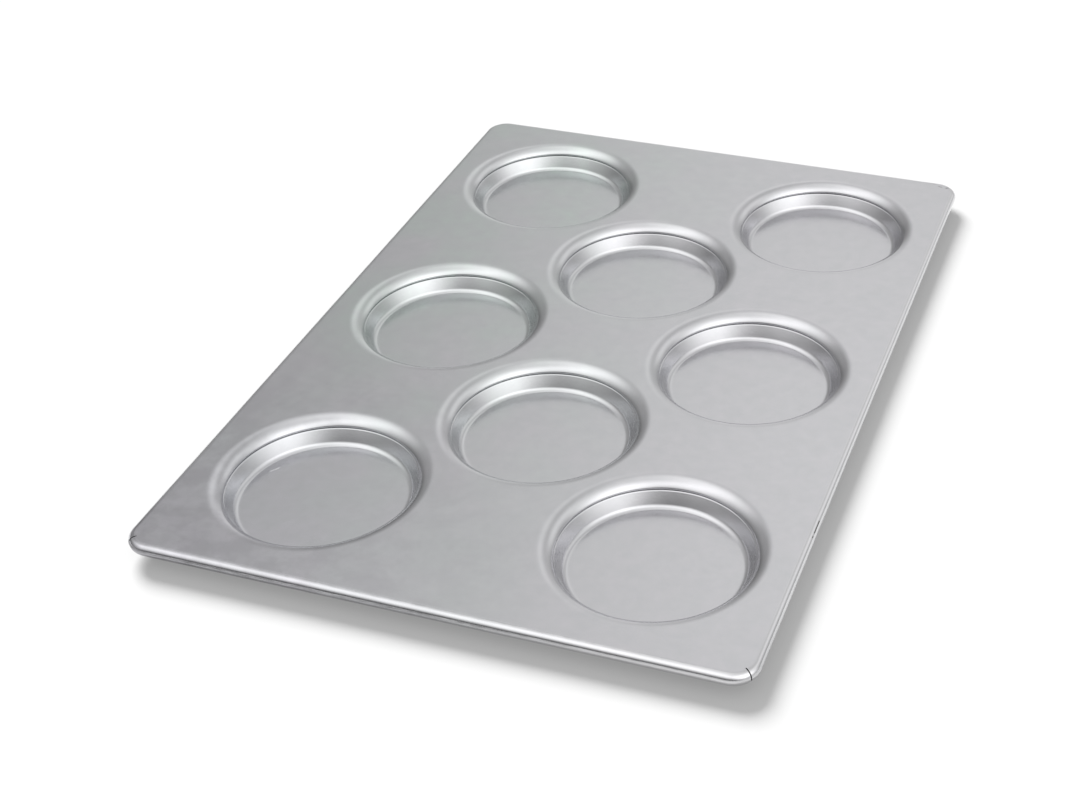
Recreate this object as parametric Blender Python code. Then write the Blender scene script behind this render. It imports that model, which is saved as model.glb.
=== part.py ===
"""Compartment sheet pan: a stamped sheet with eight round openings, eight drawn cups hooked into
them by a folded seam, and a wire that the sheet's edge is rolled round. Metres, +Z up. The pan
stands on the undersides of its cups at z = 0, centred on x = 0 and y = 0, long side along Y."""

import math

import bmesh
import bpy
from mathutils import Vector

# The pan over its rolled rim
PAN_WIDTH = 0.454
PAN_LENGTH = 0.6572
CORNER_RADIUS = 0.019

# Sheet metal, and the play between two pieces that touch on the real pan
SHEET_THICKNESS = 0.0008
CUP_THICKNESS = 0.0008
GAP = 0.0003
SEAM_GAP = 0.0004

# From the pan's sides and ends to the centres of the cups along them
SIDE_MARGIN = 0.1007
END_MARGIN = 0.1055

# The sheet's drawn edge round each opening, measured on its upper face
MOUTH_RADIUS = 0.0695
SHOULDER_RADIUS = 0.0136
SHOULDER_SLOPE = math.radians(53)
LEAST_LAND = 0.001

# The seam folded under the shoulder
HOOK_LEG = 0.003
HOOK_SLOPE = math.radians(45)

# The cup, measured on its inner face
CUP_DEPTH = 0.01905
WALL_SLOPE = math.radians(63)
LIP_RADIUS = 0.0006
FOOT_RADIUS = 0.005

# The rolled rim
WIRE_DIAMETER = 0.00794
ROLL_TURN = math.radians(300)
SLIT_WIDTH = 0.0012
SLIT_REACH = 0.002

# Facets
RING_SIDES = 24
WIRE_SIDES = 12
CORNER_STEPS = 2
SHOULDER_STEPS = 3
HOOK_STEPS = 3
FOLD_STEPS = 2
LIP_STEPS = 1
FOOT_STEPS = 2
SMOOTH_ANGLE = math.radians(35)
MERGE_DISTANCE = 1e-6

# The pan's corners, anticlockwise from the front right one
CORNERS = [(1, -1), (1, 1), (-1, 1), (-1, -1)]

# Sizes that follow from the ones above
PAN_HEIGHT = CUP_DEPTH + CUP_THICKNESS
ROLL_RADIUS = WIRE_DIAMETER / 2 + GAP + SHEET_THICKNESS
COLUMN_PITCH = PAN_WIDTH / 2 - SIDE_MARGIN
ROW_PITCH = PAN_LENGTH / 2 - END_MARGIN
SHOULDER_ROOM = (math.hypot(COLUMN_PITCH, ROW_PITCH / 2) - LEAST_LAND) / 2 - MOUTH_RADIUS
SHOULDER_BEND = min(SHOULDER_RADIUS, SHOULDER_ROOM / math.sin(SHOULDER_SLOPE))
SHOULDER_START = MOUTH_RADIUS + SHOULDER_BEND * math.sin(SHOULDER_SLOPE)
FOLD_RADIUS = (SHEET_THICKNESS + CUP_THICKNESS) / 2 + SEAM_GAP
HOOK_TURN = math.pi - SHOULDER_SLOPE + HOOK_SLOPE


def direction(angle):
    return Vector((math.cos(angle), math.sin(angle)))


def straight(length):
    """A move along the heading."""
    return length, 0.0, 1


def bend(radius, turn, steps):
    """A move along an arc; a positive turn is to the left."""
    return radius, turn, steps


def follow(start, heading, moves):
    """Follows the moves in a plane and returns each station on the way, as a point and a heading."""
    point = Vector(start)
    stations = [(point.copy(), heading)]
    for size, turn, steps in moves:
        to_centre = math.copysign(math.pi / 2, turn)
        for _ in range(steps):
            if turn:
                centre = point + direction(heading + to_centre) * size
                heading += turn / steps
                point = centre - direction(heading + to_centre) * size
            else:
                point = point + direction(heading) * size
            stations.append((point.copy(), heading))
    return stations


def faces_of_metal(stations, thickness):
    """Offsets a sheet's middle line to its two faces, left and right of the heading."""
    half = thickness / 2
    left = [point + direction(heading + math.pi / 2) * half for point, heading in stations]
    right = [point - direction(heading + math.pi / 2) * half for point, heading in stations]
    return left, right


def shoulder_line():
    """The sheet's middle line from the flat down the shoulder, as radius and height."""
    start = (SHOULDER_START, -SHEET_THICKNESS / 2)
    shoulder = bend(SHOULDER_BEND - SHEET_THICKNESS / 2, SHOULDER_SLOPE, SHOULDER_STEPS)
    return follow(start, math.pi, [shoulder])


def hook_line():
    """The sheet's middle line from the shoulder's foot, folded back outward under the shoulder."""
    foot, heading = shoulder_line()[-1]
    return follow(foot, heading, [bend(FOLD_RADIUS, HOOK_TURN, HOOK_STEPS), straight(HOOK_LEG)])


def hook_centre():
    foot, heading = shoulder_line()[-1]
    return foot + direction(heading + math.pi / 2) * FOLD_RADIUS


def cup_line():
    """The cup's middle line: the flange inside the sheet's hook, the fold round its end, the lip
    under it, then the wall, the foot and the floor to the cup's axis."""
    hook_step = HOOK_TURN / HOOK_STEPS
    wall_heading = math.pi + WALL_SLOPE
    lip_heading = math.pi + HOOK_SLOPE - hook_step
    flange = follow(
        hook_centre(),
        HOOK_SLOPE,
        [
            straight(HOOK_LEG),
            bend(FOLD_RADIUS, -math.pi, FOLD_STEPS),
            straight(HOOK_LEG),
            bend(2 * FOLD_RADIUS, -hook_step, 1),
            bend(LIP_RADIUS + CUP_THICKNESS / 2, wall_heading - lip_heading, LIP_STEPS),
        ],
    )
    wall_top = flange[-1][0]
    foot_bend = FOOT_RADIUS + CUP_THICKNESS / 2
    floor_height = -CUP_DEPTH - CUP_THICKNESS / 2
    foot_drop = foot_bend * (1 - math.cos(WALL_SLOPE))
    wall_length = (wall_top.y - foot_drop - floor_height) / math.sin(WALL_SLOPE)
    wall = follow(
        wall_top,
        wall_heading,
        [straight(wall_length), bend(foot_bend, -WALL_SLOPE, FOOT_STEPS)],
    )
    floor_edge = wall[-1][0].x
    floor = follow(wall[-1][0], math.pi, [straight(floor_edge)])
    return flange + wall[1:] + floor[1:]


def roll_line():
    """The sheet's middle line from the flat's edge, rolled out, down and under round the wire."""
    steps = round(ROLL_TURN / (2 * math.pi / WIRE_SIDES))
    start = (0.0, -SHEET_THICKNESS / 2)
    return follow(start, 0.0, [bend(ROLL_RADIUS - SHEET_THICKNESS / 2, -ROLL_TURN, steps)])


def cup_places():
    """Each cup's name and centre: three in each outer column, and two between them."""
    places = {}
    for side, x in (("left", -COLUMN_PITCH), ("right", COLUMN_PITCH)):
        for row, y in (("front", -ROW_PITCH), ("middle", 0.0), ("back", ROW_PITCH)):
            places[f"cup_{row}_{side}"] = (x, y)
    for row, y in (("front", -ROW_PITCH / 2), ("back", ROW_PITCH / 2)):
        places[f"cup_{row}_centre"] = (0.0, y)
    return places


def corner_centre(corner):
    """The centre of a corner's curve, in the plane of the sheet."""
    across, along = corner
    return Vector((across * (PAN_WIDTH / 2 - CORNER_RADIUS), along * (PAN_LENGTH / 2 - CORNER_RADIUS)))


def flat_sides():
    """The flat's edge as four runs, each from one corner's slit round to the next, anticlockwise.
    A station is a point of the flat's edge and the direction straight out from it."""
    bend_radius = CORNER_RADIUS - ROLL_RADIUS
    half_slit = math.asin(SLIT_WIDTH / 2 / CORNER_RADIUS)
    half_corner = math.pi / 4 - half_slit
    sides = []
    for side, start in enumerate(CORNERS):
        end = CORNERS[(side + 1) % len(CORNERS)]
        square = side * math.pi / 2
        stations = []
        for corner, first_angle in ((start, square - half_corner), (end, square)):
            for step in range(CORNER_STEPS + 1):
                out = direction(first_angle + half_corner * step / CORNER_STEPS)
                stations.append((corner_centre(corner) + out * bend_radius, out))
        sides.append(stations)
    return sides


def slit_tip(corner):
    """Where a corner's slit ends in the flat."""
    reach = CORNER_RADIUS - ROLL_RADIUS - SLIT_REACH
    return corner_centre(corner) + Vector(corner).normalized() * reach


def sweep(bm, stations, section, closed):
    """Carries a section along stations and skins it. A section point is (out, up)."""
    rows = [[bm.verts.new((*(place + out * p.x), p.y)) for p in section] for place, out in stations]
    following = rows[1:] + rows[:1] if closed else rows[1:]
    for row, after in zip(rows, following):
        for i in range(len(section) - 1):
            bm.faces.new((row[i], after[i], after[i + 1], row[i + 1]))
        if closed:
            bm.faces.new((row[-1], after[-1], after[0], row[0]))
    return rows


def spin_section(bm, section, centre):
    """Spins a section, as radius and height, round an upright axis."""
    x, y = centre
    verts = [bm.verts.new((x + p.x, y, p.y)) for p in section]
    edges = [bm.edges.new(pair) for pair in zip(verts, verts[1:])]
    bmesh.ops.spin(
        bm,
        geom=verts + edges,
        cent=(x, y, 0),
        axis=(0, 0, 1),
        angle=2 * math.pi,
        steps=RING_SIDES,
        use_merge=True,
    )


def add_opening(bm, centre):
    """The shoulder and hook round one opening; both ends of the section stay open, on the flat."""
    under, upper = faces_of_metal(shoulder_line() + hook_line()[1:], SHEET_THICKNESS)
    spin_section(bm, under + upper[::-1], centre)


def add_rolled_edge(bm):
    """Sweeps the roll along each side, closes its ends, and opens the slits between them."""
    outer, inner = faces_of_metal(roll_line(), SHEET_THICKNESS)
    section = outer + inner[::-1]
    count = len(outer)
    sides = [sweep(bm, stations, section, False) for stations in flat_sides()]
    for rows in sides:
        for end in (rows[0], rows[-1]):
            for i in range(count - 1):
                bm.faces.new((end[i], end[i + 1], end[-2 - i], end[-1 - i]))
    for side, rows in enumerate(sides):
        following = (side + 1) % len(sides)
        last, first = rows[-1], sides[following][0]
        tip = slit_tip(CORNERS[following])
        tip_top = bm.verts.new((*tip, 0.0))
        tip_under = bm.verts.new((*tip, -SHEET_THICKNESS))
        bm.faces.new((last[0], tip_top, tip_under, last[-1]))
        bm.faces.new((tip_top, first[0], first[-1], tip_under))


def fill_flat(bm, height):
    """Fills the flat at one height between the openings and the rolled edge."""
    tolerance = SHEET_THICKNESS / 10
    rim = [
        edge
        for edge in bm.edges
        if edge.is_boundary and all(abs(v.co.z - height) < tolerance for v in edge.verts)
    ]
    bmesh.ops.triangle_fill(bm, use_beauty=True, edges=rim)


def finish_mesh(bm, name):
    """Turns the faces outward and shades the mesh smooth, with its creases kept sharp."""
    bmesh.ops.recalc_face_normals(bm, faces=bm.faces)
    mesh = bpy.data.meshes.new(name)
    bm.to_mesh(mesh)
    bm.free()
    mesh.shade_smooth()
    mesh.set_sharp_from_angle(angle=SMOOTH_ANGLE)
    return mesh


def sheet_mesh():
    bm = bmesh.new()
    for centre in cup_places().values():
        add_opening(bm, centre)
    add_rolled_edge(bm)
    fill_flat(bm, 0.0)
    fill_flat(bm, -SHEET_THICKNESS)
    return finish_mesh(bm, "pan_sheet")


def cup_mesh():
    """One cup round its own axis, where the two ends of its section each close to a point."""
    bm = bmesh.new()
    outer, inner = faces_of_metal(cup_line(), CUP_THICKNESS)
    spin_section(bm, outer[::-1] + inner, (0, 0))
    bmesh.ops.remove_doubles(bm, verts=bm.verts, dist=MERGE_DISTANCE)
    return finish_mesh(bm, "cup")


def wire_mesh():
    """A ring of round wire along the same stations as the roll, with its facets in line with it."""
    bm = bmesh.new()
    centre = Vector((0.0, -ROLL_RADIUS))
    step = 2 * math.pi / WIRE_SIDES
    section = [centre + direction(i * step) * WIRE_DIAMETER / 2 for i in range(WIRE_SIDES)]
    stations = [station for side in flat_sides() for station in side]
    sweep(bm, stations, section, True)
    return finish_mesh(bm, "rim_wire")


def steel(name, colour, roughness):
    """Bare metal with a satin finish."""
    material = bpy.data.materials.new(name)
    material.use_nodes = True
    shader = material.node_tree.nodes["Principled BSDF"]
    shader.inputs["Base Color"].default_value = (*colour, 1)
    shader.inputs["Metallic"].default_value = 1.0
    shader.inputs["Roughness"].default_value = roughness
    return material


def place(name, mesh, material, location, parent):
    item = bpy.data.objects.new(name, mesh)
    if not mesh.materials:
        mesh.materials.append(material)
    item.location = location
    item.parent = parent
    bpy.context.collection.objects.link(item)
    return item


def build_pan():
    """Hangs every piece from an empty at the height of the sheet's upper face."""
    pan = bpy.data.objects.new("pan", None)
    pan.location = (0, 0, PAN_HEIGHT)
    bpy.context.collection.objects.link(pan)
    sheet_steel = steel("pan_sheet_aluminised_steel", (0.60, 0.61, 0.61), 0.36)
    cup_steel = steel("cup_aluminised_steel", (0.59, 0.60, 0.60), 0.33)
    wire_steel = steel("rim_wire_steel", (0.45, 0.45, 0.45), 0.45)
    place("pan_sheet", sheet_mesh(), sheet_steel, (0, 0, 0), pan)
    place("rim_wire", wire_mesh(), wire_steel, (0, 0, 0), pan)
    cup = cup_mesh()
    for name, centre in cup_places().items():
        place(name, cup, cup_steel, (*centre, 0), pan)


for leftover in list(bpy.data.objects):
    bpy.data.objects.remove(leftover, do_unlink=True)
build_pan()
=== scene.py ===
"""The looks of a compartment sheet pan: eight drawn cups seamed into one sheet of aluminised steel,
whose edge is rolled round a wire. Metres, +Z up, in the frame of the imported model."""

import math

import bmesh
import bpy
from mathutils import Matrix, Vector, noise


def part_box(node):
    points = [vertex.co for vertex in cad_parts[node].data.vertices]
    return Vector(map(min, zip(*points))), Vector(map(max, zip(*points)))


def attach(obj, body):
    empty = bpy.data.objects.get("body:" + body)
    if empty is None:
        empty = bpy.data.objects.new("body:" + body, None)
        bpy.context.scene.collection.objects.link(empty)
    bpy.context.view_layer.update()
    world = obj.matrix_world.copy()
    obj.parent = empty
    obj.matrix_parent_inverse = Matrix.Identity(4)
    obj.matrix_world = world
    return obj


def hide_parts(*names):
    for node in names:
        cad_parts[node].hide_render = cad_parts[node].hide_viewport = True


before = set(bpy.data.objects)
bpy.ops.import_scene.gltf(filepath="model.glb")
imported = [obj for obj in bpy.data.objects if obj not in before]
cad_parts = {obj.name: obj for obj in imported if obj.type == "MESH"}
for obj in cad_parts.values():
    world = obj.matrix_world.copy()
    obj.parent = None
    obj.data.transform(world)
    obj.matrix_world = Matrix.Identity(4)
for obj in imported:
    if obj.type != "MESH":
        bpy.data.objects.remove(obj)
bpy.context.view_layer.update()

# Sheet metal, and the play between two pieces that touch on the real pan
SHEET_THICKNESS = 0.0008
CUP_THICKNESS = 0.0008
GAP = 0.0003
SEAM_GAP = 0.00012

# The sheet's drawn edge round each opening, measured on its upper face
MOUTH_RADIUS = 0.0695
SHOULDER_RADIUS = 0.0136
SHOULDER_SLOPE = math.radians(53)

# The seam folded under the shoulder
HOOK_LEG = 0.003
HOOK_SLOPE = math.radians(45)

# The cup, measured on its inner face
WALL_SLOPE = math.radians(63)
LIP_RADIUS = 0.0006
FOOT_RADIUS = 0.005

# The rolled rim
CORNER_RADIUS = 0.019
WIRE_DIAMETER = 0.00794
ROLL_TURN = math.radians(300)
SLIT_WIDTH = 0.0011

# How finely the surfaces are stepped
RING_SIDES = 144
WIRE_SIDES = 24
CORNER_STEPS = 10
EDGE_STEP = 0.006
SHOULDER_STEPS = 12
HOOK_STEPS = 10
FOLD_STEPS = 8
LIP_STEPS = 4
FOOT_STEPS = 10
ROLL_STEPS = 32
FLAT_RING = 0.0012
SMOOTH_ANGLE = math.radians(35)
MERGE_DISTANCE = 1e-6

# The pan's corners, anticlockwise from the front right one, and how far each corner's slit lies
# past the middle of the corner, anticlockwise, and reaches into the flat
CORNERS = [(1, -1), (1, 1), (-1, 1), (-1, -1)]
SLIT_TURNS = [math.radians(9), 0.0, math.radians(4), math.radians(-3)]
SLIT_REACHES = [0.0012, 0.0030, 0.0020, 0.0014]

# Sizes that the frame gives
sheet_low, sheet_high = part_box("pan_sheet")
PAN_WIDTH = sheet_high.x - sheet_low.x
PAN_LENGTH = sheet_high.y - sheet_low.y
SHEET_TOP = sheet_high.z
CUP_DEPTH = SHEET_TOP - CUP_THICKNESS
CUP_NAMES = [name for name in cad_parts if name.startswith("cup_")]

# Sizes that follow from the ones above
ROLL_RADIUS = WIRE_DIAMETER / 2 + GAP + SHEET_THICKNESS
SHOULDER_START = MOUTH_RADIUS + SHOULDER_RADIUS * math.sin(SHOULDER_SLOPE)
FOLD_RADIUS = (SHEET_THICKNESS + CUP_THICKNESS) / 2 + SEAM_GAP
HOOK_TURN = math.pi - SHOULDER_SLOPE + HOOK_SLOPE

# How unevenly the edge was rolled: the sheet bulges and dips a little more the further it is turned
BULGE_DEPTH = 0.00022
BULGE_LENGTH = 0.035
RIPPLE_DEPTH = 0.00010
RIPPLE_LENGTH = 0.008
# How much deeper the rolled end just past each slit lies
SLUMP_DEPTHS = [0.00035, 0.0003, 0.0002, 0.0]
SLUMP_LENGTH = 0.004
# The roll's grime and painted shade are strongest at one corner, and less and less so along the
# front and up the side
GRIME_AND_SHADE_CORNER = (-0.227, -0.3286)
GRIME_AND_SHADE_REACH = (0.4, 0.05)
GRIME_AND_SHADE_LEAST = 0.08
# Knocks in the rolled edge: where, how far they reach and how deep they are
KNOCKS = [
    ((-0.2212, -0.3166), 0.0014, 0.0005),
    ((-0.2190, -0.3195), 0.0010, -0.0003),
    ((0.2185, -0.1690), 0.0070, 0.0003),
    ((0.1900, 0.3240), 0.0030, 0.0003),
    ((-0.0900, -0.3240), 0.0040, 0.0003),
]

# The metal's colours
PALE_GREY = "#C9C8CB"
VIOLET_GREY = "#CAC8CE"
GREEN_GREY = "#C4CBC8"
DULL_GREY = "#C2C3C5"
# The stains' grey is partly real stain and partly painted shade on the flats near one corner
STAIN_AND_SHADE_GREY = "#A9A8AC"
# The roll's dark grey: grime, and painted shade in place of the dark surroundings it reflects
GRIME_AND_SHADE_GREY = "#69686A"
# Bright aluminium shows scratches and rubbed wear, and on the roll also a painted highlight
BRIGHT_ALUMINIUM = "#F4F4F4"
BARE_STEEL = "#5E5C5A"
OXIDE_DARK = "#7A7672"
OXIDE_PALE = "#9B9A98"

# Patterns in the metal: how many millimetres their features are across, and how finely broken up
CLOUDS = (80, 2.0)
MOTTLE = (12, 5.0)
BLOTCHES = (25, 6.0)
SHEEN_PATCHES = (9, 4.0)
GRIME_AND_SHADE_PATCHES = (8, 3.0)
OXIDE_PATCHES = (3, 3.0)
FINE_RELIEF = (2.0, 2.0)
RAGGED_EDGES = (1.5, 3.0)
PATTERN_ROUGHNESS = 0.6
# Streaks from rolling are about 0.3 mm wide, drawn wider so that they show, and about twelve times
# as long as they are wide
STREAKS = (1.2, 3.0)
STREAK_SLENDERNESS = 0.08
# Draw marks are 0.8 mm wide round the cup's mouth, and run the whole height of the wall
DRAW_MARKS = (0.8, 2.0)
DRAW_MARK_DEPTH = 0.5
RELIEF_STRENGTH = 0.04
RELIEF_DEPTH = 0.0005

# The ranges below are for between(): where a change starts and ends, and what it goes from and to.
# The coat's clouds, mottle, and stains with painted shade, by their patterns, by how far right and
# by how far from the corner where grime and painted shade are strongest
CLOUDS_BY_PATTERN = (0.35, 0.65, 0.0, 1.0)
MOTTLE_BY_PATTERN = (0.3, 0.7, 0.3, 1.0)
BLOTCHES_BY_PATTERN = (0.40, 0.60, 0.3, 1.0)
GREENISH_TO_RIGHT = (-0.10, 0.10, 1.0, 0.0)
VIOLET_FROM_CORNER = (0.05, 0.25, 0.9, 0.0)
STAIN_AND_SHADE_FROM_CORNER = (0.03, 0.32, 0.6, 0.0)
MARK_EDGE = (1.2, 1.6, 1.0, 0.0)
# The bands round the roll, by how far the sheet is turned, and how strong they are, by the grime
# and painted shade share. The crest band is painted shade that narrows the highlight, the edge and
# under bands are grime with painted shade, and the side and top bands are rubbed wear with a
# painted highlight
ON_ROLL = (0.0, 0.06, 0.0, 1.0)
CREST_START = (0.005, 0.02, 0.0, 1.0)
CREST_END = (0.06, 0.09, 1.0, 0.0)
CREST_BY_GRIME_AND_SHADE = (0.33, 0.45, 0.0, 0.4)
EDGE_START = (0.185, 0.21, 0.0, 1.0)
EDGE_END = (0.27, 0.33, 1.0, 0.0)
EDGE_BY_GRIME_AND_SHADE = (0.2, 0.55, 0.0, 0.9)
UNDER_START = (0.25, 0.31, 0.0, 1.0)
UNDER_BY_GRIME_AND_SHADE = (0.45, 1.0, 0.1, 0.8)
SIDE_START = (0.22, 0.27, 0.0, 0.9)
TOP_WEAR_AND_HIGHLIGHT = (0.0, 0.03, 0.0, 0.3)
WEAR_AND_HIGHLIGHT_END = (0.36, 0.42, 1.0, 0.0)
WEAR_AND_HIGHLIGHT_BY_GRIME_AND_SHADE = (0.25, 0.6, 1.0, 0.0)
GRIME_AND_SHADE_BY_PATTERN = (0.3, 0.7, 0.7, 1.0)
GRIME_AND_SHADE_BY_STREAKS = (0.35, 0.6, 0.4, 1.0)
WEAR_AND_HIGHLIGHT_BY_STREAKS = (0.35, 0.6, 0.5, 1.0)
# Roughness, by its patterns, and what the shoulders' burnishing takes off it, by height
SATIN = (0.3, 0.7, 0.20, 0.235)
OXIDISED = (0.0, 1.0, 0.38, 0.55)
BURNISHED = (SHEET_TOP - 0.0015, SHEET_TOP - 0.0003, 0.05, 0.0)
# Where a cup's drawn wall rises from its floor, by height from the sheet's top
DRAWN_WALL = (-CUP_DEPTH + 0.0005, -CUP_DEPTH + 0.002, 0.0, 1.0)
# How much rougher the drawn wall, the grime with its painted shade, and the scrapes are
WALL_ROUGHER = 0.02
GRIME_AND_SHADE_ROUGHER = 0.15
SCRAPES_ROUGHER = 0.2

# Marks in the coat: each one's two ends and half its width
RIM_SCRAPES = [
    ((0.2256, -0.1640, 0.0182), (0.2256, -0.1768, 0.0182), 0.0005),
    ((0.2256, -0.1808, 0.0182), (0.2256, -0.1822, 0.0182), 0.0005),
    ((0.2095, 0.3201, 0.0197), (0.2125, 0.3191, 0.0197), 0.0004),
    ((0.2033, 0.3238, 0.0195), (0.2062, 0.3230, 0.0195), 0.0004),
]
CUP_SCRATCHES = [((-0.1792, -0.2064, 0.0008), (-0.1750, -0.2009, 0.0008), 0.0008)]
# How bright the scratches are
SCRATCH_SHARE = 0.7

# The camera, fitted to the rim and the seam circles in the photograph, 1080 pixels wide
PHOTO_WIDTH = 1080
FOCAL_PIXELS = 1771.12
CENTRE_PIXEL = 690
SENSOR_WIDTH = 36.0
CAMERA_LENS = FOCAL_PIXELS / PHOTO_WIDTH * SENSOR_WIDTH
CAMERA_SHIFT = (PHOTO_WIDTH / 2 - CENTRE_PIXEL) / PHOTO_WIDTH
CAMERA_AZIMUTH = 180 - 18.64
CAMERA_ELEVATION = 36.08
CAMERA_ROLL = -1.02
CAMERA_DISTANCE = 1.32935
CAMERA_TARGET = (0.09891, -0.06268, SHEET_TOP)

# The studio's floor: how much of it is paper that takes the shadow, and how bright the rest is to
# the camera and in the metal
FLOOR_REACH = 30.0
PAPER_COLOUR = "#E7E7E7"
PAPER_SHARE = 0.22
PAPER_WHITE = 0.34
# The light from everywhere above the floor's level, to which the soft lights add
DIM_LIGHT = 0.02
# Light from under the floor's level, which only a view of the underside without the floor shows,
# and the heights of a direction between which it gives way to the dim light
LIGHT_BELOW = 0.6
HORIZON = (-0.06, -0.02)
# Rings of soft lights: each ring's elevation, how many degrees away from its middle a light is half
# as bright, and each light's azimuth and brightness. The brightnesses come from a least-squares
# fit to the metal's tones in the photograph, but for ten that were set after it
SOFT_LIGHTS = [
    (5, 12, {-32: 0.12, -15: 0.75, 8: 0.36, 30: 0.36}),
    (8, 18, {58: 0.30, 90: 0.35, 122: 0.46}),
    (10, 18, {240: 0.22, 292: 0.21}),
    (22, 12, {-52: 0.24, -30: 0.12, -14: 0.34, 8: 0.30, 30: 0.67}),
    (30, 18, {64: 0.36, 94: 0.92, 124: 0.98}),
    (33, 17, {150: 0.47, 180: 0.18, 210: 0.55}),
    (33, 18, {240: 0.27, 270: 0.35}),
    (40, 13, {-26: 0.28, -6: 0.71, 16: 0.08, 40: 0.52}),
    (55, 19, {75: 0.53, 118: 0.89, 155: 0.64, 195: 0.77}),
    (57, 19, {235: 0.86, 275: 0.69}),
    (60, 17, {-50: 0.60, 30: 0.22}),
    (82, 19, {0: 0.59}),
]
# The lamp that lights the floor alone: its azimuth and elevation, how wide it looks, its strength
SHADOW_LAMP = (-45, 40)
SHADOW_LAMP_WIDTH = math.radians(30)
SHADOW_LAMP_BRIGHTNESS = 16.0


def direction(angle):
    return Vector((math.cos(angle), math.sin(angle)))


def straight(length):
    """A move along the heading."""
    return length, 0.0, 1


def bend(radius, turn, steps):
    """A move along an arc; a positive turn is to the left."""
    return radius, turn, steps


def follow(start, heading, moves):
    """Follows the moves in a plane. Returns each station on the way, as a point and a heading."""
    point = Vector(start)
    stations = [(point.copy(), heading)]
    for size, turn, steps in moves:
        to_centre = math.copysign(math.pi / 2, turn)
        for _ in range(steps):
            if turn:
                centre = point + direction(heading + to_centre) * size
                heading += turn / steps
                point = centre - direction(heading + to_centre) * size
            else:
                point = point + direction(heading) * size
            stations.append((point.copy(), heading))
    return stations


def faces_of_metal(stations, thickness):
    """Offsets a sheet's middle line to its two faces, left and right of the heading."""
    half = thickness / 2
    left = [point + direction(heading + math.pi / 2) * half for point, heading in stations]
    right = [point - direction(heading + math.pi / 2) * half for point, heading in stations]
    return left, right


def shoulder_line():
    """The sheet's middle line from a flat ring round the opening and down the shoulder."""
    start = (SHOULDER_START + FLAT_RING, -SHEET_THICKNESS / 2)
    shoulder = bend(SHOULDER_RADIUS - SHEET_THICKNESS / 2, SHOULDER_SLOPE, SHOULDER_STEPS)
    return follow(start, math.pi, [straight(FLAT_RING), shoulder])


def hook_line():
    """The sheet's middle line from the shoulder's foot, folded back outward under the shoulder."""
    foot, heading = shoulder_line()[-1]
    return follow(foot, heading, [bend(FOLD_RADIUS, HOOK_TURN, HOOK_STEPS), straight(HOOK_LEG)])


def hook_centre():
    foot, heading = shoulder_line()[-1]
    return foot + direction(heading + math.pi / 2) * FOLD_RADIUS


def cup_line():
    """The cup's middle line: the flange inside the sheet's hook, the fold round its end, the lip
    under it, then the wall, the foot and the floor to the cup's axis."""
    lip_turn = HOOK_TURN / 3
    wall_heading = math.pi + WALL_SLOPE
    lip_heading = math.pi + HOOK_SLOPE - lip_turn
    flange = follow(
        hook_centre(),
        HOOK_SLOPE,
        [
            straight(HOOK_LEG),
            bend(FOLD_RADIUS, -math.pi, FOLD_STEPS),
            straight(HOOK_LEG),
            bend(2 * FOLD_RADIUS, -lip_turn, LIP_STEPS),
            bend(LIP_RADIUS + CUP_THICKNESS / 2, wall_heading - lip_heading, LIP_STEPS),
        ],
    )
    wall_top = flange[-1][0]
    foot_bend = FOOT_RADIUS + CUP_THICKNESS / 2
    floor_height = -CUP_DEPTH - CUP_THICKNESS / 2
    foot_drop = foot_bend * (1 - math.cos(WALL_SLOPE))
    wall_length = (wall_top.y - foot_drop - floor_height) / math.sin(WALL_SLOPE)
    wall = follow(
        wall_top,
        wall_heading,
        [straight(wall_length), bend(foot_bend, -WALL_SLOPE, FOOT_STEPS), straight(FLAT_RING)],
    )
    floor_edge = wall[-1][0].x
    floor = follow(wall[-1][0], math.pi, [straight(floor_edge)])
    return flange + wall[1:] + floor[1:]


def roll_line():
    """The sheet's middle line from a flat strip, rolled out, down and under round the wire."""
    start = (-FLAT_RING, -SHEET_THICKNESS / 2)
    roll = bend(ROLL_RADIUS - SHEET_THICKNESS / 2, -ROLL_TURN, ROLL_STEPS)
    return follow(start, 0.0, [straight(FLAT_RING), roll])


def corner_centre(corner):
    """The centre of a corner's curve, in the plane of the sheet."""
    across, along = corner
    half_width, half_length = PAN_WIDTH / 2 - CORNER_RADIUS, PAN_LENGTH / 2 - CORNER_RADIUS
    return Vector((across * half_width, along * half_length))


def flat_sides():
    """The flat's edge as four runs, each from one corner's slit round to the next, anticlockwise.
    A station is a point of the flat's edge and the direction straight out from it."""
    bend_radius = CORNER_RADIUS - ROLL_RADIUS
    half_slit = math.asin(SLIT_WIDTH / 2 / CORNER_RADIUS)
    sides = []
    for side in range(len(CORNERS)):
        end = (side + 1) % len(CORNERS)
        square = side * math.pi / 2
        first_turn = -math.pi / 4 + SLIT_TURNS[side] + half_slit
        last_turn = math.pi / 4 + SLIT_TURNS[end] - half_slit
        halves = []
        for corner, turns in ((side, (first_turn, 0.0)), (end, (0.0, last_turn))):
            half = []
            for step in range(CORNER_STEPS + 1):
                share = step / CORNER_STEPS
                out = direction(square + turns[0] * (1 - share) + turns[1] * share)
                half.append((corner_centre(CORNERS[corner]) + out * bend_radius, out))
            halves.append(half)
        (first, out), (last, _) = halves[0][-1], halves[1][0]
        count = round((last - first).length / EDGE_STEP)
        run = [(first.lerp(last, i / count), out) for i in range(1, count)]
        sides.append(halves[0] + run + halves[1])
    return sides


def slit_tip(number):
    """Where a corner's slit ends in the flat."""
    reach = CORNER_RADIUS - ROLL_RADIUS - SLIT_REACHES[number]
    turn = -math.pi / 4 + number * math.pi / 2 + SLIT_TURNS[number]
    return corner_centre(CORNERS[number]) + direction(turn) * reach


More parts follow.
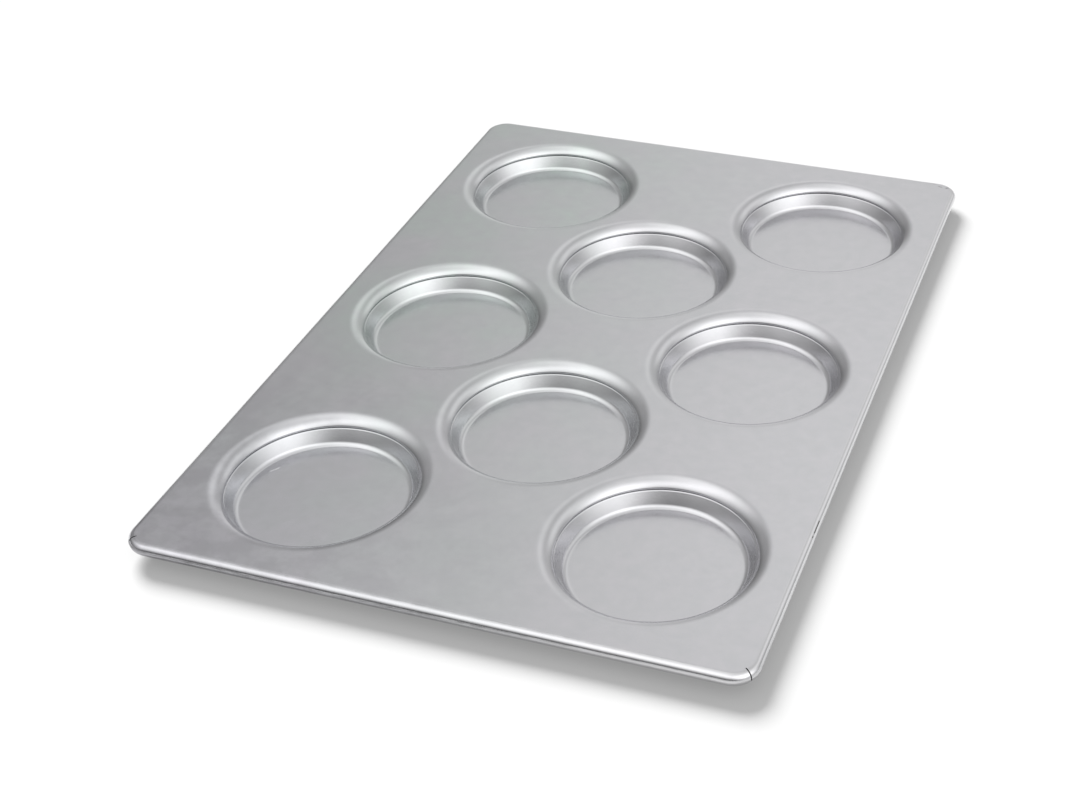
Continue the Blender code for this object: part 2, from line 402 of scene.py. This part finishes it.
def unevenness(place):
    """How deep the rolled sheet lies below its true line at a place along the edge."""
    spot = Vector((*place, 0.0))
    bulge = BULGE_DEPTH * (1 + noise.noise(spot / BULGE_LENGTH)) / 2
    ripple = RIPPLE_DEPTH * (1 + noise.noise(spot / RIPPLE_LENGTH)) / 2
    knocks = [
        deep * math.exp(-(((place - Vector(at)).length / reach) ** 2)) for at, reach, deep in KNOCKS
    ]
    return bulge + ripple + sum(knocks)


def sweep(bm, stations, sections, closed_run, closed_section):
    """Carries a section along stations and skins it. There is one section for each station, and a
    section point is (out, up)."""
    rows = []
    for (place, out), section in zip(stations, sections):
        rows.append([bm.verts.new((*(place + out * p.x), p.y)) for p in section])
    following = rows[1:] + rows[:1] if closed_run else rows[1:]
    for row, after in zip(rows, following):
        for i in range(len(row) - 1):
            bm.faces.new((row[i], after[i], after[i + 1], row[i + 1]))
        if closed_section:
            bm.faces.new((row[-1], after[-1], after[0], row[0]))
    return rows


def spin_section(bm, section, centre):
    """Turns a section, as radius and height, round an upright axis."""
    step = 2 * math.pi / RING_SIDES
    stations = [(Vector(centre), direction(i * step)) for i in range(RING_SIDES)]
    sweep(bm, stations, [section] * RING_SIDES, True, False)


def add_opening(bm, centre):
    """The shoulder and hook round one opening; both ends of the section stay open, on the flat."""
    under, upper = faces_of_metal(shoulder_line() + hook_line()[1:], SHEET_THICKNESS)
    spin_section(bm, under + upper[::-1], centre)


def uneven_roll(stations, slump):
    """The roll's section at each station, pressed towards the wire as unevenly as it was rolled."""
    outer, inner = faces_of_metal(roll_line(), SHEET_THICKNESS)
    wire = Vector((0.0, -ROLL_RADIUS))
    turned = [max(0, i - 1) / ROLL_STEPS for i in range(len(outer))]
    sections = []
    for place, _ in stations:
        from_slit = (place - stations[0][0]).length
        depth = unevenness(place) + slump * math.exp(-from_slit / SLUMP_LENGTH)
        faces = []
        for face in (outer, inner):
            shares = zip(face, turned)
            faces.append([p + (wire - p).normalized() * depth * math.sqrt(t) for p, t in shares])
        sections.append(faces[0] + faces[1][::-1])
    return sections


def mark_roll(bm, stations, rows, run_so_far):
    """Notes on each point of the roll how far along the edge it is, how far round the wire, and how
    much grime and painted shade it takes, for the sheet's material. Returns how far along the edge
    the rows end."""
    rolled = bm.verts.layers.float_vector["rolled"]
    last = len(rows[0]) // 2 - 1
    before = stations[0][0]
    for (place, _), row in zip(stations, rows):
        run_so_far += (place - before).length
        before = place
        away = [(at - start) / reach for at, start, reach in zip(place, GRIME_AND_SHADE_CORNER, GRIME_AND_SHADE_REACH)]
        grime_and_shade_share = GRIME_AND_SHADE_LEAST + (1 - GRIME_AND_SHADE_LEAST) * math.exp(-math.hypot(*away))
        for i, vert in enumerate(row):
            turned = max(0, min(i, 2 * last + 1 - i) - 1) / ROLL_STEPS
            vert[rolled] = (run_so_far, turned, grime_and_shade_share)
    return run_so_far


def add_rolled_edge(bm):
    """Sweeps the roll along each side, closes its ends, and opens the slits between them."""
    bm.verts.layers.float_vector.new("rolled")
    sides = []
    run = 0.0
    for stations, slump in zip(flat_sides(), SLUMP_DEPTHS):
        rows = sweep(bm, stations, uneven_roll(stations, slump), False, False)
        run = mark_roll(bm, stations, rows, run)
        sides.append(rows)
        for end in (rows[0], rows[-1]):
            for i in range(len(end) // 2 - 1):
                bm.faces.new((end[i], end[i + 1], end[-2 - i], end[-1 - i]))
    for side, rows in enumerate(sides):
        following = (side + 1) % len(sides)
        last, first = rows[-1], sides[following][0]
        tip = slit_tip(following)
        tip_top = bm.verts.new((*tip, 0.0))
        tip_under = bm.verts.new((*tip, -SHEET_THICKNESS))
        bm.faces.new((last[0], tip_top, tip_under, last[-1]))
        bm.faces.new((tip_top, first[0], first[-1], tip_under))


def fill_flat(bm, height):
    """Fills the flat at one height between the openings and the rolled edge."""
    tolerance = SHEET_THICKNESS / 10
    rim = [
        edge
        for edge in bm.edges
        if edge.is_boundary and all(abs(v.co.z - height) < tolerance for v in edge.verts)
    ]
    bmesh.ops.triangle_fill(bm, use_beauty=True, edges=rim)


def finish_mesh(bm, name):
    """Turns the faces outward and shades the mesh smooth, with its creases kept sharp."""
    bmesh.ops.recalc_face_normals(bm, faces=bm.faces)
    mesh = bpy.data.meshes.new(name)
    bm.to_mesh(mesh)
    bm.free()
    mesh.shade_smooth()
    mesh.set_sharp_from_angle(angle=SMOOTH_ANGLE)
    return mesh


def node_centre(name):
    """The middle of a node of the frame, in plan."""
    low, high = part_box(name)
    return (low.x + high.x) / 2, (low.y + high.y) / 2


def sheet_mesh():
    bm = bmesh.new()
    add_rolled_edge(bm)
    for name in CUP_NAMES:
        add_opening(bm, node_centre(name))
    fill_flat(bm, 0.0)
    fill_flat(bm, -SHEET_THICKNESS)
    return finish_mesh(bm, "stamped_sheet")


def cup_mesh():
    """One cup round its own axis, where the two ends of its section each close to a point."""
    bm = bmesh.new()
    outer, inner = faces_of_metal(cup_line(), CUP_THICKNESS)
    spin_section(bm, outer[::-1] + inner, (0, 0))
    bmesh.ops.remove_doubles(bm, verts=bm.verts, dist=MERGE_DISTANCE)
    return finish_mesh(bm, "drawn_cup")


def wire_mesh():
    """A ring of round wire inside the roll, thin enough to clear the sheet where it bulges in."""
    bm = bmesh.new()
    centre = Vector((0.0, -ROLL_RADIUS))
    radius = WIRE_DIAMETER / 2 - BULGE_DEPTH - RIPPLE_DEPTH - max(SLUMP_DEPTHS) + GAP
    step = 2 * math.pi / WIRE_SIDES
    section = [centre + direction(i * step) * radius for i in range(WIRE_SIDES)]
    stations = [station for side in flat_sides() for station in side]
    sweep(bm, stations, [section] * len(stations), True, True)
    return finish_mesh(bm, "wire_ring")


def linear(hex_colour):
    """An sRGB hex colour as the linear colour that a socket takes."""
    levels = [int(hex_colour[i : i + 2], 16) / 255 for i in (1, 3, 5)]
    return (*(v / 12.92 if v <= 0.04045 else ((v + 0.055) / 1.055) ** 2.4 for v in levels), 1.0)


def add(tree, kind, inputs=None, **settings):
    """Adds a node. An input that is given a socket is linked to it, and any other is set."""
    node = tree.nodes.new(kind)
    for name, value in settings.items():
        setattr(node, name, value)
    for name, value in (inputs or {}).items():
        if isinstance(value, bpy.types.NodeSocket):
            tree.links.new(value, node.inputs[name])
        else:
            node.inputs[name].default_value = value
    return node


def combine(tree, operation, *values):
    """One number made from others, by an operation of the maths node."""
    return add(tree, "ShaderNodeMath", dict(enumerate(values)), operation=operation).outputs[0]


def product(tree, first, *others):
    for value in others:
        first = combine(tree, "MULTIPLY", first, value)
    return first


def combine_vectors(tree, operation, *vectors):
    """The same for vectors. A distance or a dot product comes out as a plain number."""
    node = add(tree, "ShaderNodeVectorMath", dict(enumerate(vectors)), operation=operation)
    return node.outputs["Value" if operation in ("DISTANCE", "DOT_PRODUCT") else "Vector"]


def scaled(tree, vector, scale):
    inputs = {0: vector, "Scale": scale}
    return add(tree, "ShaderNodeVectorMath", inputs, operation="SCALE").outputs["Vector"]


def split(tree, vector):
    """The three numbers of a vector."""
    return add(tree, "ShaderNodeSeparateXYZ", {0: vector}).outputs


def noise_at(tree, place, size_mm, detail):
    """A pattern whose features are about this many millimetres across."""
    inputs = {
        "Vector": place, "Scale": 1000 / size_mm, "Detail": detail, "Roughness": PATTERN_ROUGHNESS,
    }
    return add(tree, "ShaderNodeTexNoise", inputs).outputs["Fac"]


def between(tree, value, low, high, out_low, out_high):
    """Turns one range of a value into another, and holds it at the ends."""
    inputs = {
        "Value": value, "From Min": low, "From Max": high, "To Min": out_low, "To Max": out_high,
    }
    return add(tree, "ShaderNodeMapRange", inputs).outputs[0]


def blend(tree, share, first, second):
    """One colour where the share is 0 and the other where it is 1."""
    return add(tree, "ShaderNodeMix", {0: share, 6: first, 7: second}, data_type="RGBA").outputs[2]


def new_material(name):
    """An empty material and its tree."""
    material = bpy.data.materials.new(name)
    material.use_nodes = True
    material.node_tree.nodes.clear()
    return material, material.node_tree


def place_on_pan(tree):
    """Where on the pan a point of the surface is, so that each cup has clouds of its own."""
    local = add(tree, "ShaderNodeTexCoord").outputs["Object"]
    origin = add(tree, "ShaderNodeObjectInfo").outputs["Location"]
    return combine_vectors(tree, "ADD", local, origin)


def distance_from(tree, place, spot):
    """How far a point of the surface is from a spot of the sheet's upper face."""
    return combine_vectors(tree, "DISTANCE", place, (*spot, SHEET_TOP))


def clouded_coat(tree, place):
    """The coat's colour: a pale grey with green grey clouds towards the left and violet grey round
    the corner where grime and painted shade are strongest, and a faint mottle from the coat's
    crystals and from handling."""
    cloud = between(tree, noise_at(tree, place, *CLOUDS), *CLOUDS_BY_PATTERN)
    across = split(tree, place)[0]
    greenish = product(tree, cloud, between(tree, across, *GREENISH_TO_RIGHT))
    violet = between(tree, distance_from(tree, place, GRIME_AND_SHADE_CORNER), *VIOLET_FROM_CORNER)
    tint = blend(tree, greenish, linear(PALE_GREY), linear(GREEN_GREY))
    tint = blend(tree, violet, tint, linear(VIOLET_GREY))
    mottle = between(tree, noise_at(tree, place, *MOTTLE), *MOTTLE_BY_PATTERN)
    return blend(tree, mottle, linear(DULL_GREY), tint)


def stain_and_shade(tree, place):
    """How stained the coat is, with painted shade on the flats: in blotches that fade away from
    the corner where grime and painted shade are strongest.
    """
    near = between(tree, distance_from(tree, place, GRIME_AND_SHADE_CORNER), *STAIN_AND_SHADE_FROM_CORNER)
    blotches = between(tree, noise_at(tree, place, *BLOTCHES), *BLOTCHES_BY_PATTERN)
    return product(tree, near, blotches)


def scraped(tree, place, scrapes):
    """Where the coat is scraped: 1 in the marks, which are ragged lines, and 0 elsewhere."""
    ragged = noise_at(tree, place, *RAGGED_EDGES)
    marks = None
    for start, end, half_width in scrapes:
        length = Vector(end) - Vector(start)
        from_start = combine_vectors(tree, "SUBTRACT", place, start)
        run = combine_vectors(tree, "DOT_PRODUCT", from_start, length / length.length_squared)
        nearest = scaled(tree, length, between(tree, run, 0.0, 1.0, 0.0, 1.0))
        away = combine_vectors(tree, "DISTANCE", from_start, nearest)
        reach = combine(tree, "ADD", combine(tree, "DIVIDE", away, half_width), ragged)
        mark = between(tree, reach, *MARK_EDGE)
        marks = mark if marks is None else combine(tree, "MAXIMUM", marks, mark)
    return marks


def satin_sheen(tree, place):
    """The coat's roughness, a little uneven."""
    return between(tree, noise_at(tree, place, *SHEEN_PATCHES), *SATIN)


def metal_surface(tree, colour, gloss, **more):
    """Finishes a material as bare metal."""
    metal = {"Base Color": colour, "Metallic": 1.0, "Roughness": gloss, **more}
    surface = add(tree, "ShaderNodeBsdfPrincipled", metal).outputs[0]
    add(tree, "ShaderNodeOutputMaterial", {"Surface": surface})


def coated_surface(tree, place, colour, gloss, marks):
    """Finishes a material as coated metal, with the coat's fine relief and marks that stand out."""
    relief = combine(tree, "ADD", noise_at(tree, place, *FINE_RELIEF), marks)
    inputs = {"Height": relief, "Strength": RELIEF_STRENGTH, "Distance": RELIEF_DEPTH}
    bump = add(tree, "ShaderNodeBump", inputs).outputs["Normal"]
    metal_surface(tree, colour, gloss, Normal=bump)


def roll_streaks(tree, run, turned):
    """The streaks that the rolling left along the edge."""
    across = product(tree, turned, ROLL_TURN * ROLL_RADIUS)
    along = product(tree, run, STREAK_SLENDERNESS)
    place = add(tree, "ShaderNodeCombineXYZ", {0: along, 1: across}).outputs[0]
    return noise_at(tree, place, *STREAKS)


def grime_and_shade_on_roll(tree, place, turned, grime_and_shade_share, streaks):
    """How dark the roll is painted: grime, and painted shade in place of the dark surroundings that
    it reflects. Its outer side is darkest, just under the upper face.
    """
    # Painted shade just past the flat's edge, which narrows the highlight on the crest
    crest_shade = product(
        tree,
        between(tree, turned, *CREST_START),
        between(tree, turned, *CREST_END),
        between(tree, grime_and_shade_share, *CREST_BY_GRIME_AND_SHADE),
    )
    # Grime with painted shade on the outer side and underneath, where the roll reflects dark
    # surroundings
    edge = product(
        tree,
        between(tree, turned, *EDGE_START),
        between(tree, turned, *EDGE_END),
        between(tree, grime_and_shade_share, *EDGE_BY_GRIME_AND_SHADE),
    )
    under = product(
        tree, between(tree, turned, *UNDER_START), between(tree, grime_and_shade_share, *UNDER_BY_GRIME_AND_SHADE)
    )
    grime_and_shade = combine(tree, "MAXIMUM", combine(tree, "MAXIMUM", edge, under), crest_shade)
    patchy = between(tree, noise_at(tree, place, *GRIME_AND_SHADE_PATCHES), *GRIME_AND_SHADE_BY_PATTERN)
    return product(tree, grime_and_shade, patchy, between(tree, streaks, *GRIME_AND_SHADE_BY_STREAKS))


def wear_and_highlight_on_roll(tree, turned, grime_and_shade_share, streaks):
    """How bright the roll is painted: rubbed wear and a painted highlight, where it is clean, and
    most of all on its outer side.
    """
    # Rubbed wear with a painted highlight, on the roll's outer side and on top
    side = between(tree, turned, *SIDE_START)
    side = product(tree, side, between(tree, streaks, *WEAR_AND_HIGHLIGHT_BY_STREAKS))
    wear_and_highlight = combine(tree, "MAXIMUM", side, between(tree, turned, *TOP_WEAR_AND_HIGHLIGHT))
    return product(
        tree,
        wear_and_highlight,
        between(tree, turned, *WEAR_AND_HIGHLIGHT_END),
        between(tree, grime_and_shade_share, *WEAR_AND_HIGHLIGHT_BY_GRIME_AND_SHADE),
    )


def aluminised_sheet_steel():
    """Hot-dipped aluminised steel, rolled. Its aluminium and silicon coat froze in fine crystals,
    so it is a pale satin grey with a faint mottle, clouded by oil and handling. The die burnished
    the shoulders round the cups. The flats near one corner carry stains and painted shade. The
    rolled edge is streaked along its length, darkened near one corner by grime and painted shade,
    and elsewhere rubbed bright, partly as wear and partly as a painted highlight."""
    material, tree = new_material("aluminised_sheet_steel")
    place = place_on_pan(tree)
    rolled = add(tree, "ShaderNodeAttribute", attribute_name="rolled").outputs["Vector"]
    run, turned, grime_and_shade_share = split(tree, rolled)
    streaks = roll_streaks(tree, run, turned)
    grime_and_shade = grime_and_shade_on_roll(tree, place, turned, grime_and_shade_share, streaks)
    wear_and_highlight = wear_and_highlight_on_roll(tree, turned, grime_and_shade_share, streaks)
    scrapes = scraped(tree, place, RIM_SCRAPES)
    # Stains and painted shade darken the flats near one corner
    colour = blend(tree, stain_and_shade(tree, place), clouded_coat(tree, place), linear(STAIN_AND_SHADE_GREY))
    # Grime and painted shade darken the roll
    colour = blend(tree, grime_and_shade, colour, linear(GRIME_AND_SHADE_GREY))
    # Rubbed wear and a painted highlight brighten the roll
    colour = blend(tree, wear_and_highlight, colour, linear(BRIGHT_ALUMINIUM))
    colour = blend(tree, scrapes, colour, linear(BARE_STEEL))
    height = split(tree, place)[2]
    burnished = between(tree, height, *BURNISHED)
    gloss = combine(tree, "SUBTRACT", satin_sheen(tree, place), burnished)
    gloss = combine(tree, "ADD", gloss, product(tree, grime_and_shade, GRIME_AND_SHADE_ROUGHER))
    gloss = combine(tree, "ADD", gloss, product(tree, scrapes, SCRAPES_ROUGHER))
    marks = product(tree, streaks, between(tree, turned, *ON_ROLL))
    coated_surface(tree, place, colour, gloss, marks)
    return material


def aluminised_drawn_steel():
    """The same coated steel after deep drawing: the die stretched the coat up the wall, which is a
    little duller than the floor and finely streaked up and down."""
    material, tree = new_material("aluminised_drawn_steel")
    place = place_on_pan(tree)
    local = add(tree, "ShaderNodeTexCoord").outputs["Object"]
    height = split(tree, local)[2]
    on_wall = between(tree, height, *DRAWN_WALL)
    level = combine_vectors(tree, "MULTIPLY", local, (1, 1, 0))
    around = scaled(tree, combine_vectors(tree, "NORMALIZE", level), MOUTH_RADIUS)
    marks = product(tree, on_wall, DRAW_MARK_DEPTH, noise_at(tree, around, *DRAW_MARKS))
    scratch = product(tree, scraped(tree, place, CUP_SCRATCHES), SCRATCH_SHARE)
    colour = blend(tree, scratch, clouded_coat(tree, place), linear(BRIGHT_ALUMINIUM))
    gloss = combine(tree, "ADD", satin_sheen(tree, place), product(tree, on_wall, WALL_ROUGHER))
    coated_surface(tree, place, colour, gloss, marks)
    return material


def drawn_steel_wire():
    """Bare steel wire, drawn through a die: grey, under a dull and uneven oxide."""
    material, tree = new_material("drawn_steel_wire")
    place = add(tree, "ShaderNodeTexCoord").outputs["Object"]
    oxide = noise_at(tree, place, *OXIDE_PATCHES)
    tint = add(tree, "ShaderNodeValToRGB", {"Fac": oxide})
    tint.color_ramp.elements[0].color = linear(OXIDE_DARK)
    tint.color_ramp.elements[1].color = linear(OXIDE_PALE)
    metal_surface(tree, tint.outputs["Color"], between(tree, oxide, *OXIDISED))
    return material


def white_paper():
    """Matt white studio paper, which takes the pan's shadow. The camera and the metal see part of
    it as plain white, and it casts no more light for that."""
    material, tree = new_material("white_paper")
    paper = add(tree, "ShaderNodeBsdfDiffuse", {"Color": linear(PAPER_COLOUR)}).outputs[0]
    path = add(tree, "ShaderNodeLightPath")
    seen = combine(tree, "MAXIMUM", path.outputs["Is Camera Ray"], path.outputs["Is Glossy Ray"])
    white = product(tree, seen, PAPER_WHITE)
    glow = add(tree, "ShaderNodeEmission", {"Strength": white}).outputs[0]
    surface = add(tree, "ShaderNodeMixShader", {0: PAPER_SHARE, 1: glow, 2: paper}).outputs[0]
    add(tree, "ShaderNodeOutputMaterial", {"Surface": surface})
    return material


def place_piece(name, mesh, material, location):
    """Puts a finished piece where its node of the frame is, and shows it instead of that node."""
    piece = bpy.data.objects.new(f"{name}_finished", mesh)
    if not mesh.materials:
        mesh.materials.append(material)
    piece.location = location
    bpy.context.scene.collection.objects.link(piece)
    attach(piece, "root")
    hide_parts(name)


def build_pan():
    top = (0, 0, SHEET_TOP)
    place_piece("pan_sheet", sheet_mesh(), aluminised_sheet_steel(), top)
    place_piece("rim_wire", wire_mesh(), drawn_steel_wire(), top)
    cup = cup_mesh()
    steel = aluminised_drawn_steel()
    for name in CUP_NAMES:
        place_piece(name, cup, steel, (*node_centre(name), SHEET_TOP))


def bearing(azimuth, elevation):
    """The direction of a place seen from the pan. Azimuth 0 is straight back and 90 is right."""
    azimuth, elevation = math.radians(azimuth), math.radians(elevation)
    level = math.cos(elevation)
    return Vector((math.sin(azimuth) * level, math.cos(azimuth) * level, math.sin(elevation)))


def add_shadow_lamp(floor):
    """A soft lamp far off at the back left that lights the floor alone, so that the pan's shadow
    falls to its right and front, as dark as the photograph shows it."""
    lamp = bpy.data.lights.new("shadow_lamp", "SUN")
    lamp.angle = SHADOW_LAMP_WIDTH
    lamp.energy = SHADOW_LAMP_BRIGHTNESS
    holder = bpy.data.objects.new("shadow_lamp", lamp)
    holder.rotation_euler = bearing(*SHADOW_LAMP).to_track_quat("Z", "Y").to_euler()
    bpy.context.scene.collection.objects.link(holder)
    lit = bpy.data.collections.new("lit_by_shadow_lamp")
    lit.objects.link(floor)
    holder.light_linking.receiver_collection = lit


def soft_studio():
    """Soft light from all round, plain white to the camera. Each soft light glows brightest in one
    direction and fades away round it."""
    world = bpy.data.worlds.new("soft_studio")
    world.use_nodes = True
    tree = world.node_tree
    tree.nodes.clear()
    towards = add(tree, "ShaderNodeTexCoord").outputs["Generated"]
    height = split(tree, towards)[2]
    glow = between(tree, height, *HORIZON, LIGHT_BELOW, DIM_LIGHT)
    lights = [
        (bearing(azimuth, elevation), reach, brightness)
        for elevation, reach, ring in SOFT_LIGHTS
        for azimuth, brightness in ring.items()
    ]
    for middle, reach, brightness in lights:
        steepness = math.log(2) / (1 - math.cos(math.radians(reach)))
        nearness = combine_vectors(tree, "DOT_PRODUCT", towards, middle)
        fall = combine(tree, "MULTIPLY_ADD", nearness, steepness, -steepness)
        share = combine(tree, "EXPONENT", fall)
        glow = combine(tree, "MULTIPLY_ADD", share, brightness, glow)
    seen = add(tree, "ShaderNodeLightPath").outputs["Is Camera Ray"]
    level = between(tree, seen, 0.0, 1.0, glow, 1.0)
    background = add(tree, "ShaderNodeBackground", {"Color": linear("#FFFFFF"), "Strength": level})
    add(tree, "ShaderNodeOutputWorld", {"Surface": background.outputs[0]})
    return world


def add_studio():
    """A floor of white paper, and soft light over it."""
    mesh = bpy.data.meshes.new("studio_floor")
    bm = bmesh.new()
    bmesh.ops.create_grid(bm, x_segments=1, y_segments=1, size=FLOOR_REACH)
    bm.to_mesh(mesh)
    bm.free()
    mesh.materials.append(white_paper())
    floor = bpy.data.objects.new("studio_floor", mesh)
    bpy.context.scene.collection.objects.link(floor)
    add_shadow_lamp(floor)
    bpy.context.scene.world = soft_studio()


def add_camera():
    """Stands the camera where the photograph was taken from."""
    away = bearing(CAMERA_AZIMUTH, CAMERA_ELEVATION)
    side = (-away).cross(Vector((0, 0, 1))).normalized()
    upward = side.cross(-away)
    roll = math.radians(CAMERA_ROLL)
    right = math.cos(roll) * side + math.sin(roll) * upward
    up = -math.sin(roll) * side + math.cos(roll) * upward
    turned = Matrix((right, up, away)).transposed().to_4x4()
    lens = bpy.data.cameras.new("camera")
    lens.sensor_width = SENSOR_WIDTH
    lens.lens = CAMERA_LENS
    lens.shift_x = CAMERA_SHIFT
    camera = bpy.data.objects.new("camera", lens)
    stand = Vector(CAMERA_TARGET) + away * CAMERA_DISTANCE
    camera.matrix_world = Matrix.Translation(stand) @ turned
    bpy.context.scene.collection.objects.link(camera)
    bpy.context.scene.camera = camera


build_pan()
add_studio()
add_camera()
bpy.context.scene.view_settings.view_transform = "Standard"
